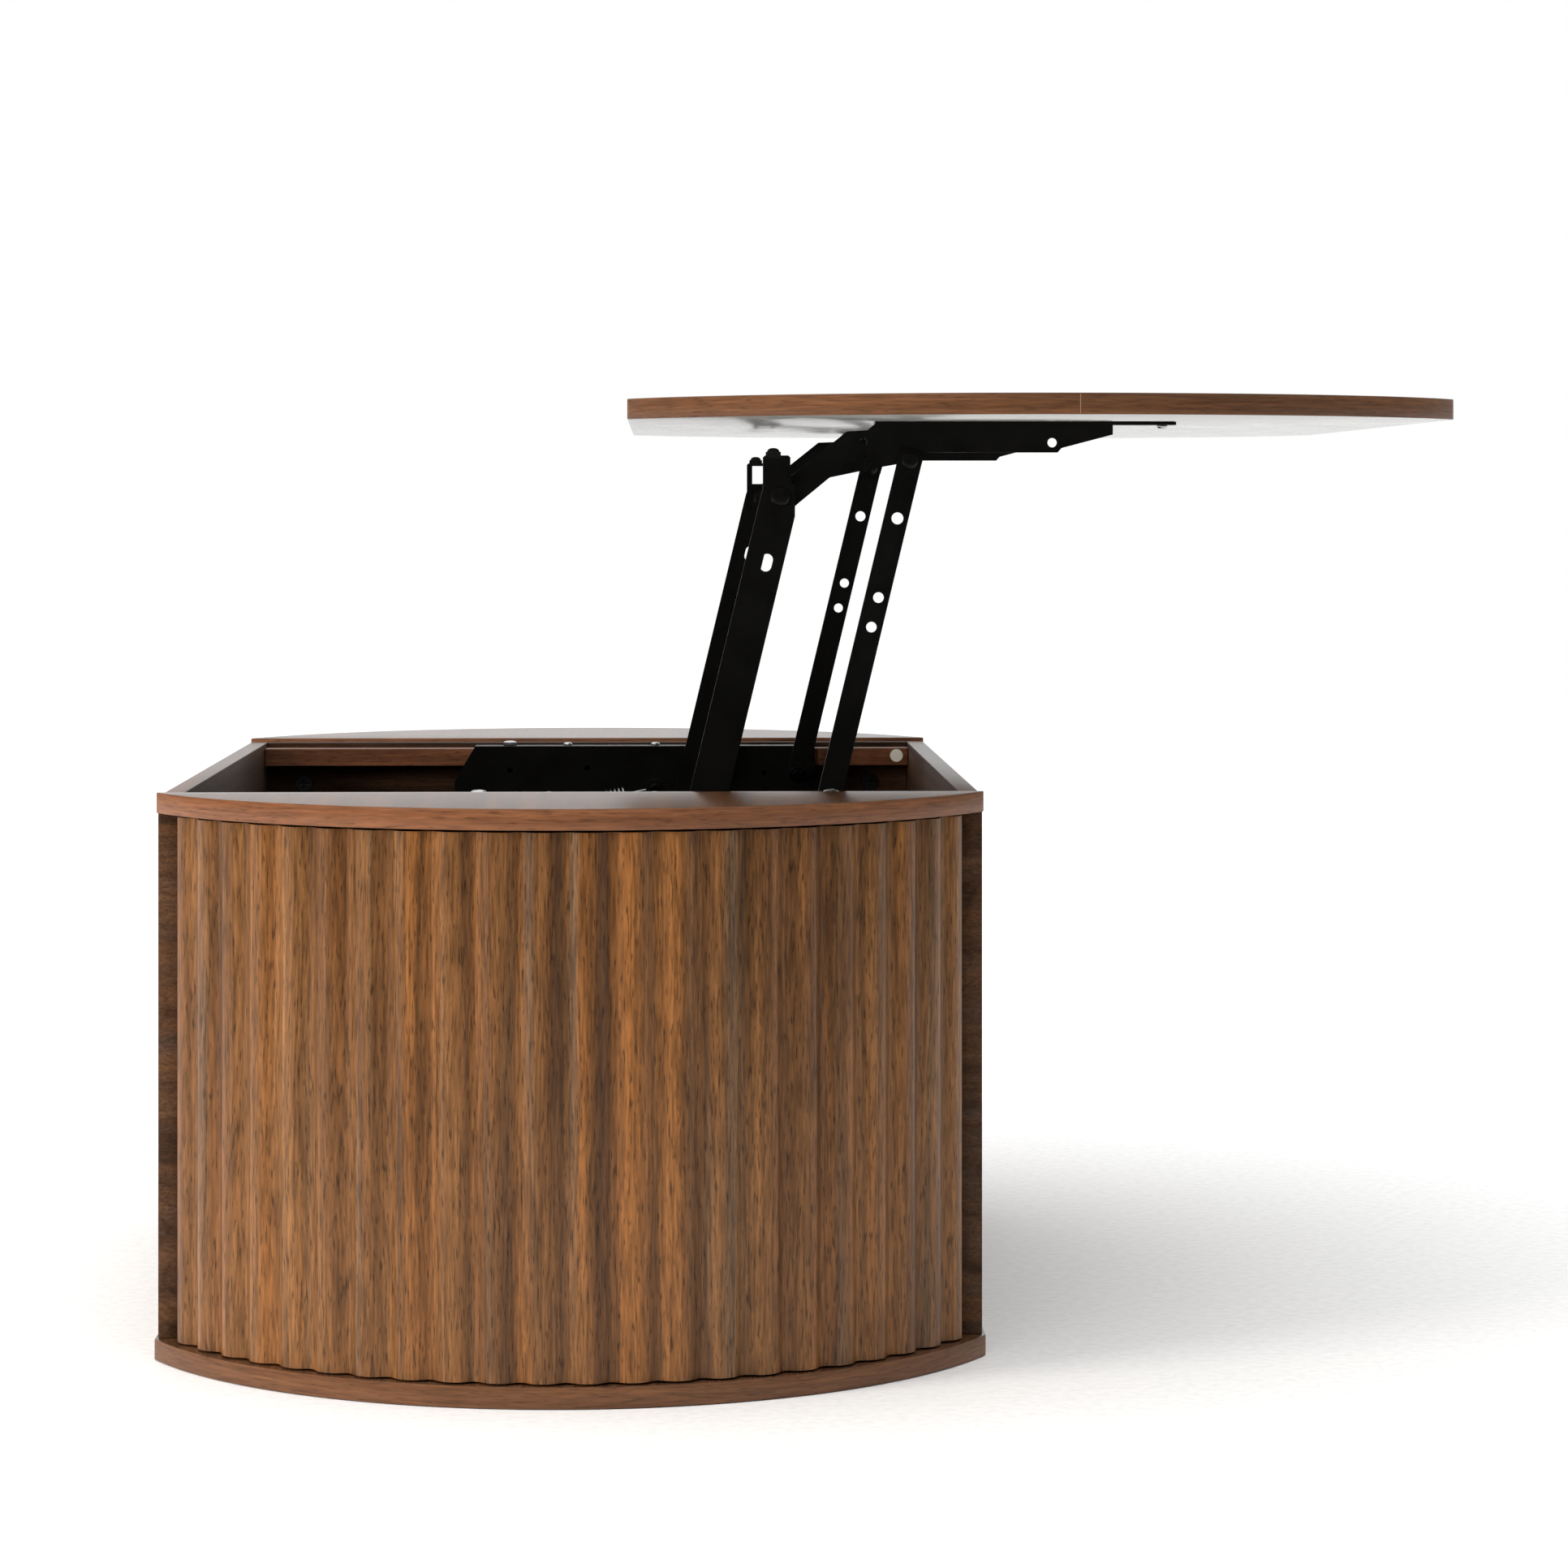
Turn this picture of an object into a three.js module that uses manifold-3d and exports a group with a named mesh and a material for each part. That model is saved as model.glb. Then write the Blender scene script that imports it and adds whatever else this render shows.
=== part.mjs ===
// Lift top coffee table: an oval box with fluted curved ends and a lid carried on two
// spring assisted four bar mechanisms.  Millimetres, +Z up, lid drawn raised.
// Sides are named for a person sitting at +X and facing the table.
import * as THREE from 'three';
import { mergeVertices } from 'three/addons/utils/BufferGeometryUtils.js';
import Module from 'manifold-3d';

const wasm = await Module();
wasm.setup();

// ---- driving dimensions -------------------------------------------------------------
const gap = 0.3;                 // air left between pieces that touch
const table_width = 600;         // X, lid and bottom board
const table_length = 1100;       // Y, tip to tip of the round ends
const end_radius = 336;          // plan radius of the round ends
const board = 15;                // thickness of every panel
const box_height = 409;          // floor to the top of the end boards
const panel_face = 297.5;        // X of the outside of the long panels
const step_down = 3;             // long panels stop this far below the end boards
const flute_count = 22;
const flute_depth = 5.5;
const flute_radius = 326;        // crest circle of the fluted panels
const flute_edge = 284;          // X where the fluted panels end
const flute_setback = 2;         // crest behind the end board at the middle
const rail_depth = 25;
const rail_top = 402;
const lid_under = 677.8;         // underside of the raised lid
const arm_length = 276;          // pivot to pivot
const arm_lean = 13.5;           // degrees past upright when raised
const rear_pivot = [88.2, 353.4];
const front_pivot = [184, 380];
const rear_arm_width = 28;
const front_arm_width = 18;
const head_top = 652.5;          // flat head of the rear arm, above its upper pivot
const spring_post = [-85, 338];
const spring_tail = [-28, 14.6]; // from the rear pivot, raised
const pin_d = 8;
const cam_d = 15;
const cam_x = 250;
const cam_z = 370;

// ---- derived ------------------------------------------------------------------------
const half_width = table_width / 2;
const end_rise = end_radius - Math.sqrt(end_radius ** 2 - half_width ** 2);
const chord = table_length / 2 - end_rise;      // Y where the round ends begin
const panel_in = panel_face - board;
const lean = arm_lean * Math.PI / 180;
const lift_x = arm_length * (1 + Math.sin(lean));
const along = [Math.sin(lean), Math.cos(lean)];
const across = [Math.cos(lean), -Math.sin(lean)];
const rail_face = chord - board - gap * 2 - rail_depth;
// layers of the mechanism, as |Y|, from the rail towards the middle of the table
const web_out = rail_face - gap;
const web_in = web_out - 2;
const arm_out = web_in - 17.7;
const arm_in = arm_out - 3;
const hang_out = arm_in - 1;
const hang_in = hang_out - 2;
const spring_y = (web_in + arm_out) / 2;
const flange_top = rail_top + gap + 2;

// ---- small tools --------------------------------------------------------------------
function closed(geometry) {
  const g = geometry.clone();
  g.deleteAttribute('normal');
  g.deleteAttribute('uv');
  return mergeVertices(g, 1e-4);
}
function to_solid(geometry) {
  const g = closed(geometry);
  return new wasm.Manifold(new wasm.Mesh({
    numProp: 3,
    vertProperties: new Float32Array(g.attributes.position.array),
    triVerts: new Uint32Array(g.index.array),
  }));
}
function to_geometry(solid) {
  const m = solid.getMesh();
  const g = new THREE.BufferGeometry();
  g.setAttribute('position', new THREE.BufferAttribute(new Float32Array(m.vertProperties), 3));
  g.setIndex(Array.from(m.triVerts));
  return g;
}
function join(...parts) {
  return to_geometry(parts.map(to_solid).reduce((a, b) => a.add(b)));
}
function cut(part, ...tools) {
  return to_geometry(tools.map(to_solid).reduce((a, b) => a.subtract(b), to_solid(part)));
}
function box(x0, x1, y0, y1, z0, z1) {
  return new THREE.BoxGeometry(x1 - x0, y1 - y0, z1 - z0)
    .translate((x0 + x1) / 2, (y0 + y1) / 2, (z0 + z1) / 2);
}
function outline(points) {
  return new THREE.Shape(points.map(([a, b]) => new THREE.Vector2(a, b)));
}
function slab(points, z0, z1) {                  // plan outline, standing in Z
  return new THREE.ExtrudeGeometry(outline(points), { depth: z1 - z0, bevelEnabled: false })
    .translate(0, 0, z0);
}
function plate(points, y0, y1) {                 // X Z outline, thickness in Y
  return new THREE.ExtrudeGeometry(outline(points), { depth: y1 - y0, bevelEnabled: false })
    .rotateX(Math.PI / 2).translate(0, y1, 0);
}
function round_y([x, z], d, y0, y1, sides = 18) {
  return new THREE.CylinderGeometry(d / 2, d / 2, y1 - y0, sides).translate(x, (y0 + y1) / 2, z);
}
function round_z(x, y, d, z0, z1, sides = 10) {
  return new THREE.CylinderGeometry(d / 2, d / 2, z1 - z0, sides).rotateX(Math.PI / 2)
    .translate(x, y, (z0 + z1) / 2);
}
function turned_y([x, z], profile, sides = 14) { // profile of [radius, y], y rising
  const pts = profile.map(([r, y]) => new THREE.Vector2(r, y));
  return new THREE.LatheGeometry(pts, sides).translate(x, 0, z);
}
function arc(radius, centre_y, from, to, steps) { // angles from +Y towards +X
  return Array.from({ length: steps + 1 }, (_, i) => {
    const t = from + (to - from) * i / steps;
    return [radius * Math.sin(t), centre_y + radius * Math.cos(t)];
  });
}
function capsule([x0, z0], [x1, z1], width, steps = 12) {
  const t = Math.atan2(z1 - z0, x1 - x0), r = width / 2, pts = [];
  for (let i = 0; i <= steps; i++) {
    const a = t - Math.PI / 2 + Math.PI * i / steps;
    pts.push([x1 + r * Math.cos(a), z1 + r * Math.sin(a)]);
  }
  for (let i = 0; i <= steps; i++) {
    const a = t + Math.PI / 2 + Math.PI * i / steps;
    pts.push([x0 + r * Math.cos(a), z0 + r * Math.sin(a)]);
  }
  return pts;
}
function on_arm([px, pz], u, w = 0) {            // u along the arm, w across it
  return [px + along[0] * u + across[0] * w, pz + along[1] * u + across[1] * w];
}
function other_side(geometry) {                  // mirror through the XZ plane
  const g = closed(geometry).applyMatrix4(new THREE.Matrix4().makeScale(1, -1, 1));
  const index = g.index.array;
  for (let i = 0; i < index.length; i += 3) [index[i + 1], index[i + 2]] = [index[i + 2], index[i + 1]];
  return g;
}

const table = new THREE.Group();
table.name = 'lift_top_coffee_table';
function add(name, geometry, colour, roughness, metalness) {
  const g = closed(geometry);
  g.computeVertexNormals();
  const material = new THREE.MeshStandardMaterial({ color: colour, roughness, metalness });
  const mesh = new THREE.Mesh(g, material);
  mesh.name = name;
  table.add(mesh);
}
const look = {
  walnut: [0x7b563b, 0.45, 0], flat_walnut: [0x6d4a34, 0.4, 0], rail: [0x5d3a28, 0.5, 0],
  steel: [0x141412, 0.45, 0.6], zinc: [0xb8b9bb, 0.3, 1], cam: [0xa9abad, 0.4, 1],
  rubber: [0x1b1b1b, 0.8, 0],
};
function both(name, geometry, finish) {          // drawn on the right, mirrored to the left
  add(`${name}_right`, geometry, ...look[finish]);
  add(`${name}_left`, other_side(geometry), ...look[finish]);
}

// ---- carcass ------------------------------------------------------------------------
const half_angle = Math.asin(half_width / end_radius);
function oval(centre_x) {
  const cy = table_length / 2 - end_radius;
  const top = arc(end_radius, cy, half_angle, -half_angle, 72);
  const low = top.map(([x, y]) => [-x, -y]);
  return [...top, ...low].map(([x, y]) => [x + centre_x, y]);
}
add('bottom_board', slab(oval(0), 0, board), ...look.flat_walnut);

const panel_low = board + gap;
const panel_high = box_height - step_down;
for (const [name, side] of [['front_panel', 1], ['back_panel', -1]]) {
  const xs = [side * panel_in, side * panel_face].sort((a, b) => a - b);
  add(name, box(...xs, -chord + gap, chord - gap, panel_low, panel_high), ...look.flat_walnut);
}

const end_in = chord - board - gap;
const cam_bores = [-1, 1].map((s) => round_y([s * cam_x, cam_z], cam_d + gap * 2, end_in - 1, end_in + 12.3));
const end_panel = cut(
  box(-panel_in + gap, panel_in - gap, end_in, chord - gap, panel_low, panel_high), ...cam_bores);
both('inner_end_panel', end_panel, 'flat_walnut');

const board_angle = Math.asin((half_width - 1.5) / end_radius);
const end_board = slab(
  arc(end_radius, table_length / 2 - end_radius, board_angle, -board_angle, 72),
  box_height - board, box_height);
both('end_top_board', end_board, 'flat_walnut');

// fluted panel: waves on the crest circle, plain back, square feet against the end panel
const flute_cy = table_length / 2 - flute_setback - flute_radius;
const flute_angle = Math.asin(flute_edge / flute_radius);
const wave = [];
const per_flute = 8;
for (let i = 0; i <= flute_count * per_flute; i++) {
  const t = flute_angle * (1 - 2 * i / (flute_count * per_flute));
  const r = flute_radius - flute_depth * Math.pow(Math.cos(Math.PI * i / per_flute), 2);
  wave.push([r * Math.sin(t), flute_cy + r * Math.cos(t)]);
}
const back_radius = flute_radius - flute_depth - 9;
const back_angle = Math.asin((flute_edge - 17) / back_radius);
const back = arc(back_radius, flute_cy, -back_angle, back_angle, 36);
const first = wave[0][0], last = wave[wave.length - 1][0];
const foot = chord + gap;
const fluted = slab(
  [[first, foot], ...wave, [last, foot], [-flute_edge + 17, foot], ...back, [flute_edge - 17, foot]],
  panel_low, box_height - board - gap);
both('fluted_panel', fluted, 'walnut');

// ---- rails and their screws ---------------------------------------------------------
const screw_y = rail_face + 12;
const base_screws = [[-68, 12], [-17, 8], [60, 8], [189, 12]];
const rail_holes = base_screws.map(([x]) => round_z(x, screw_y, 4.2, rail_top - 12, rail_top + 1));
const rail = cut(box(-panel_in + gap, panel_in - gap, rail_face, rail_face + rail_depth,
  rail_top - board, rail_top), ...rail_holes);
both('lid_rail', rail, 'rail');

function screw(x, y, seat, up, head_d, shank) {  // head on the seat, shank the other way
  const h = head_d / 3;
  const p = [[0, -shank], [1.0, -shank + 2], [1.8, -shank + 3.5], [1.8, 0.0], [head_d / 2, 0.0],
    [head_d / 2, h * 0.35], [head_d * 0.36, h * 0.8], [head_d * 0.18, h], [0, h]];
  const g = turned_y([0, 0], p, 10);
  if (up) g.rotateX(Math.PI / 2); else g.rotateX(-Math.PI / 2);
  return g.translate(x, y, seat);
}
base_screws.forEach(([x, d], i) => {
  both(`base_screw_${i + 1}`, screw(x, screw_y, flange_top + 0.05, true, d, 12), 'zinc');
});

// ---- cam locks ----------------------------------------------------------------------
[['back', -1], ['front', 1]].forEach(([name, s]) => {
  const cam = cut(round_y([s * cam_x, cam_z], cam_d, end_in - 0.6, end_in + 12, 20),
    box(s * cam_x - 4.5, s * cam_x + 4.5, end_in - 2, end_in + 1.4, cam_z - 0.9, cam_z + 0.9),
    box(s * cam_x - 0.9, s * cam_x + 0.9, end_in - 2, end_in + 1.4, cam_z - 4.5, cam_z + 4.5));
  both(`cam_lock_${name}`, cam, 'cam');
});

// ---- base bracket: upright web and a flange lying on the rail -----------------------
const web = [[-98, flange_top], [-116, 374], [-116, 340], [-104, 326], [108, 326], [152, 340],
  [196, 362], [200, 370], [200, flange_top]];
const clear = pin_d + gap * 2;
const tail_raised = [rear_pivot[0] + spring_tail[0], rear_pivot[1] + spring_tail[1]];
const base_bracket = cut(
  join(plate(web, web_in, web_out),
    box(-98, 200, web_in, rail_face + 21.5, rail_top + gap, flange_top)),
  round_y(rear_pivot, clear, web_in - 1, web_out + 1),
  round_y(front_pivot, clear, web_in - 1, web_out + 1),
  round_y(spring_post, 5.6, web_in - 1, web_out + 1),
  ...[[-67.6, 383], [0, 385], [155.3, 380.5]].map((at) => round_y(at, 5, web_in - 1, web_out + 1)),
  ...base_screws.map(([x]) => round_z(x, screw_y, 4.4, rail_top - 1, flange_top + 1)));
both('base_bracket', base_bracket, 'steel');

// ---- arms ---------------------------------------------------------------------------
const rear_top = on_arm(rear_pivot, arm_length);
const front_top = on_arm(front_pivot, arm_length);
const [head_x] = rear_top;
const head = [[head_x - 12.7, 615], [head_x + 11, 607.2], [head_x + 11, 615.5], [head_x + 7.6, 640],
  [head_x + 7.6, head_top - 1.5], [head_x + 6, head_top], [head_x - 11, head_top],
  [head_x - 12.7, head_top - 1.5]];
const rear_arm = cut(
  join(plate(capsule(rear_pivot, rear_top, rear_arm_width), arm_in, arm_out),
    plate(head, arm_in, arm_out),
    plate(capsule(rear_pivot, tail_raised, 17), arm_in, arm_out)),
  box(head_x + 11, head_x + 30, arm_in - 1, arm_out + 1, 607.2, 640),
  round_y(rear_pivot, clear, arm_in - 1, arm_out + 1),
  round_y(rear_top, clear, arm_in - 1, arm_out + 1),
  round_y(tail_raised, 5.6, arm_in - 1, arm_out + 1),
  plate(capsule(on_arm(rear_pivot, 224.3, 1.5), on_arm(rear_pivot, 228.9, 1.5), 8.6),
    arm_in - 1, arm_out + 1));
// only the right hand arm has a window punched through its head
const window = box(head_x - 8, head_x + 3, arm_in - 1, arm_out + 1, 634.3, head_top - 2.6);
add('rear_arm_right', cut(rear_arm, window), ...look.steel);
add('rear_arm_left', other_side(rear_arm), ...look.steel);
const front_arm = cut(
  plate(capsule(front_pivot, front_top, front_arm_width), arm_in, arm_out),
  round_y(front_pivot, clear, arm_in - 1, arm_out + 1),
  round_y(front_top, clear, arm_in - 1, arm_out + 1),
  ...[[232.7, 8.9], [172.6, 8], [150.2, 7.9]].map(
    ([u, d]) => round_y(on_arm(front_pivot, u, 1), d, arm_in - 1, arm_out + 1)));
both('front_arm', front_arm, 'steel');

// ---- lid bracket: swan neck web, flange under the lid pointing inwards --------------
const hang_top = lid_under - gap;
const neck = [[399, 668], [399, hang_top], [225, hang_top], [217, 671], [202.3, 670.4],
  [178, 651], [160, 636.6], [150, 633.6], [142.5, 628.5], [140.8, 620],
  [144, 612.5], [151, 609.8], [160, 611.5], [166, 617], [189.4, 636.2], [222, 643], [239, 646],
  [240.5, 641.5], [246, 639], [252, 639.5], [256.5, 643], [258.5, 650], [262, 654.7], [358, 654.7],
  [361, 658]];
const lid_screws = [236, 330, 437];
const lid_screw_y = hang_in - 11;
const lid_bracket = cut(
  join(plate(neck, hang_in, hang_out),
    box(223, 446, hang_in - 21, hang_out, hang_top - 2.4, hang_top)),
  round_y(rear_top, clear, hang_in - 1, hang_out + 1),
  round_y(front_top, clear + 0.4, hang_in - 1, hang_out + 1),
  round_y([214, 662.2], 6, hang_in - 1, hang_out + 1),
  ...lid_screws.map((x) => round_z(x, lid_screw_y, 4.4, hang_top - 4, hang_top + 1)));
// only the left hand bracket has a hole near its tail
const tail_hole = round_y([354, 662], 7, hang_in - 1, hang_out + 1);
add('lid_bracket_right', lid_bracket, ...look.steel);
add('lid_bracket_left', other_side(cut(lid_bracket, tail_hole)), ...look.steel);

const lid_holes = [];
for (const x of lid_screws) for (const s of [-1, 1]) {
  lid_holes.push(round_z(x, s * lid_screw_y, 4.2, lid_under - 1, lid_under + 11));
}
add('lid', cut(slab(oval(lift_x), lid_under, lid_under + board), ...lid_holes), ...look.flat_walnut);
lid_screws.forEach((x, i) => {
  both(`lid_screw_${i + 1}`, screw(x, lid_screw_y, hang_top - 2.45, false, 8, 12), 'zinc');
});

// ---- pivot pins ---------------------------------------------------------------------
function base_pin(at) {     // riveted through the web, shoulder between web and arm
  const r = pin_d / 2;
  return turned_y(at, [[0, arm_in - 2.8], [5, arm_in - 2.8], [7, arm_in - 1.2], [7, arm_in - gap],
    [r, arm_in - gap], [r, arm_out + gap], [6, arm_out + gap], [6, web_in - gap], [r, web_in - gap],
    [r, web_out + gap], [6.4, web_out + gap], [6.4, web_out + 1.8], [5, web_out + 2.6],
    [0, web_out + 2.6]]);
}
function top_pin(at, head) {
  const r = pin_d / 2;
  return turned_y(at, [[0, hang_in - 2.8], [head - 2, hang_in - 2.8], [head, hang_in - 1.2],
    [head, hang_in - gap], [r, hang_in - gap], [r, arm_out + gap], [head, arm_out + gap],
    [head, arm_out + 1.4], [head - 2, arm_out + 2.6], [0, arm_out + 2.6]]);
}
both('rear_base_pin', base_pin(rear_pivot), 'zinc');
both('front_base_pin', base_pin(front_pivot), 'zinc');
both('rear_top_pin', top_pin(rear_top, 7), 'steel');
both('front_top_pin', top_pin(front_top, 6), 'steel');

// ---- rubber buffer clipped over the flat head of the rear arm -----------------------
const buffer_x = head_x - 5;
const dome = new THREE.LatheGeometry([[0, -1.5], [4.6, -1.5], [4.6, 0.6], [3.8, 1.9], [2, 2.7], [0, 2.9]]
  .map(([r, y]) => new THREE.Vector2(r, y)), 14)
  .rotateX(Math.PI / 2).translate(buffer_x, (arm_in + arm_out) / 2, head_top + 2.6);
const buffer = cut(
  join(box(buffer_x - 5.5, buffer_x + 5.5, arm_in - 2.3, arm_out + 2.3, head_top - 2, head_top + 2.6), dome),
  box(buffer_x - 7, buffer_x + 7, arm_in - gap, arm_out + gap, head_top - 4, head_top + gap));
both('arm_buffer', buffer, 'rubber');

// ---- spring, its fixed post and the bolt on the arm's tail --------------------------
both('spring_post', turned_y(spring_post, [[0, spring_y - 5], [4, spring_y - 5], [4, spring_y - 3.4],
  [2.5, spring_y - 2.6], [2.5, web_in - 2.2], [5, web_in - 2.2], [5, web_in - gap], [2.5, web_in - gap],
  [2.5, web_out + gap], [4.5, web_out + gap], [3.5, web_out + 1.8], [0, web_out + 1.8]], 14), 'zinc');
both('spring_tail_bolt', turned_y(tail_raised, [[0, arm_in - 3.6], [4, arm_in - 3.6], [4.6, arm_in - 3],
  [4.6, arm_in - gap], [2.5, arm_in - gap], [2.5, arm_out + gap], [5, arm_out + gap],
  [5, arm_out + 4], [2.5, arm_out + 4], [2.5, spring_y + 2.6], [4, spring_y + 3.4],
  [4, spring_y + 5], [0, spring_y + 5]], 14), 'steel');

function spring(y) {
  const from = new THREE.Vector3(spring_post[0], y, spring_post[1]);
  const to = new THREE.Vector3(tail_raised[0], y, tail_raised[1]);
  const run = to.clone().sub(from), length = run.length();
  const e = run.clone().normalize();
  const n = new THREE.Vector3(-e.z, 0, e.x);
  const b = new THREE.Vector3(0, 1, 0);
  const at = (s, p, q) => from.clone().addScaledVector(e, s).addScaledVector(n, p).addScaledVector(b, q);
  const pts = [];
  const hook = 4, coil = 6, turns = 12, lead = 17, wire_r = 1.1;
  for (let i = 0; i <= 10; i++) {                // eye round the post
    const t = -0.75 * Math.PI + 1.5 * Math.PI * i / 10 + Math.PI;
    pts.push(at(hook * Math.cos(t), hook * Math.sin(t), 0));
  }
  const steps = turns * 12;
  for (let i = 0; i <= steps; i++) {
    const t = 2 * Math.PI * turns * i / steps;
    const swell = Math.min(1, i / 9, (steps - i) / 9);
    const r = coil * (0.25 + 0.75 * swell);
    pts.push(at(lead + (length - 2 * lead) * i / steps, -r * Math.cos(t), r * Math.sin(t)));
  }
  for (let i = 0; i <= 10; i++) {                // eye round the tail bolt
    const t = -0.75 * Math.PI + 1.5 * Math.PI * i / 10;
    pts.push(at(length + hook * Math.cos(t), hook * Math.sin(t), 0));
  }
  const path = new THREE.CatmullRomCurve3(pts, false, 'centripetal');
  const wire = new THREE.Shape(Array.from({ length: 5 }, (_, i) => new THREE.Vector2(
    wire_r * Math.cos(i * Math.PI * 0.4), wire_r * Math.sin(i * Math.PI * 0.4))));
  return new THREE.ExtrudeGeometry(wire, { steps: turns * 8 + 24, extrudePath: path, bevelEnabled: false });
}
add('spring_right', spring(spring_y), ...look.zinc);
add('spring_left', spring(-spring_y), ...look.zinc);

export default table;
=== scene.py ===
# %% [markdown]
# # A lift top coffee table, dressed for the camera
# The table is an oval box of walnut faced board. Its two ends are curved panels with moulded
# flutes, and its lid rides on a pair of black four bar arms. The measured model comes in first as
# a fixed frame. Everything after that only gives it skins, finer shapes and light.

# %% Load the measured frame
import math

import bmesh
import bpy
from mathutils import Matrix, Vector


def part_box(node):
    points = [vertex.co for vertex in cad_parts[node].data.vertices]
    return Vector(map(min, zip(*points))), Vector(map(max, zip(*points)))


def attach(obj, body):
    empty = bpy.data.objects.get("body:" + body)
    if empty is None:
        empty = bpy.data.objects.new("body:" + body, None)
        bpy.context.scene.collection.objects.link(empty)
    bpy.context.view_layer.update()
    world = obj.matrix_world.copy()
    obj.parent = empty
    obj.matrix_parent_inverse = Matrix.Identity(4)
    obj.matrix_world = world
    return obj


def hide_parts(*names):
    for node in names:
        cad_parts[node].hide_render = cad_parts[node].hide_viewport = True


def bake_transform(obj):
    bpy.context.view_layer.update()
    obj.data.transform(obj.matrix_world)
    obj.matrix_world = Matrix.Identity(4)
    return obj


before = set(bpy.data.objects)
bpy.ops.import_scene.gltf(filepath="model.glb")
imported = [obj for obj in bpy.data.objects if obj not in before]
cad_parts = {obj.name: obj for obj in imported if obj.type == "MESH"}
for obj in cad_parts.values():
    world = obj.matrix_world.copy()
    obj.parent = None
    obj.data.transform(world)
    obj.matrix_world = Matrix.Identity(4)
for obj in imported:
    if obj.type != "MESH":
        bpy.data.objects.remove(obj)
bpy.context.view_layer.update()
MM = 0.001
MERGE = 1e-6            # points nearer than this, in metres, are one point
SIDES = {"left": -1, "right": 1}

# %% [markdown]
# The table was seen from its left end, from a low stool about three and a half metres away, with a
# long lens. A long lens keeps upright edges upright. The camera stays level, and a small lens
# shift moves the picture down to the table instead of tilting the camera.

# %% Camera
camera_data = bpy.data.cameras.new("camera")
camera_data.sensor_width = 36
camera_data.lens = 101.63
camera_data.shift_y = -0.178
camera_data.clip_end = 60
camera = bpy.data.objects.new("camera", camera_data)
camera.location = (0.0648, -3.567, 0.616)
camera.rotation_euler = (math.radians(90), 0, -0.0278)
bpy.context.scene.collection.objects.link(camera)
bpy.context.scene.camera = camera
print("lens", round(camera_data.lens, 1), "mm")

# %% [markdown]
# Two small tools serve every material. One turns a paint chart colour into the linear numbers that
# the shader wants. The other adds a node, with its settings and its links, in a single line.

# %% Colour and node helpers
def linear(code):
    """An sRGB hex colour as linear red, green, blue and alpha."""
    parts = [int(code[i:i + 2], 16) / 255 for i in (1, 3, 5)]
    return [c / 12.92 if c <= 0.04045 else ((c + 0.055) / 1.055) ** 2.4 for c in parts] + [1.0]


def add(tree, kind, inputs=None, stops=None, **settings):
    """A node with its settings; an input is a value, or another node's output to link from."""
    made = tree.nodes.new("ShaderNode" + kind)
    for name, value in settings.items():
        setattr(made, name, value)
    for place, (at, colour) in enumerate(stops or []):
        ramp = made.color_ramp.elements
        step = ramp[place] if place < 2 else ramp.new(at)
        step.position, step.color = at, colour if len(colour) == 4 else [colour[0]] * 3 + [1]
    for socket, value in (inputs or {}).items():
        if isinstance(value, bpy.types.NodeSocket):
            tree.links.new(value, made.inputs[socket])
        else:
            made.inputs[socket].default_value = value
    return made


def blank(name):
    """A new material, emptied of everything but its output node."""
    finish = bpy.data.materials.new(name)
    finish.use_nodes = True
    finish.node_tree.nodes.clear()
    return finish, finish.node_tree, finish.node_tree.nodes.new("ShaderNodeOutputMaterial")


print("white is", [round(c, 3) for c in linear("#ffffff")])

# %% [markdown]
# ## Walnut
# None of the walnut here is solid wood. It is a printed paper foil pressed on board, so the grain
# is a picture under one even, satin skin. The picture is built in layers, from wide to fine:
# - slow bands of light and dark, a few centimetres wide, that run the length of the sheet
# - drifts of orange and of grey mauve, as real walnut has where sapwood and minerals show
# - rings: contour lines of a stretched noise, which close into arches as sawn boards do
# - soft dark smudges near knots
# - fibres about a millimetre wide, and pores as short dark ticks
# `stretch` says how fast the picture changes along each axis: 1 across the grain, little along it.

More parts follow.
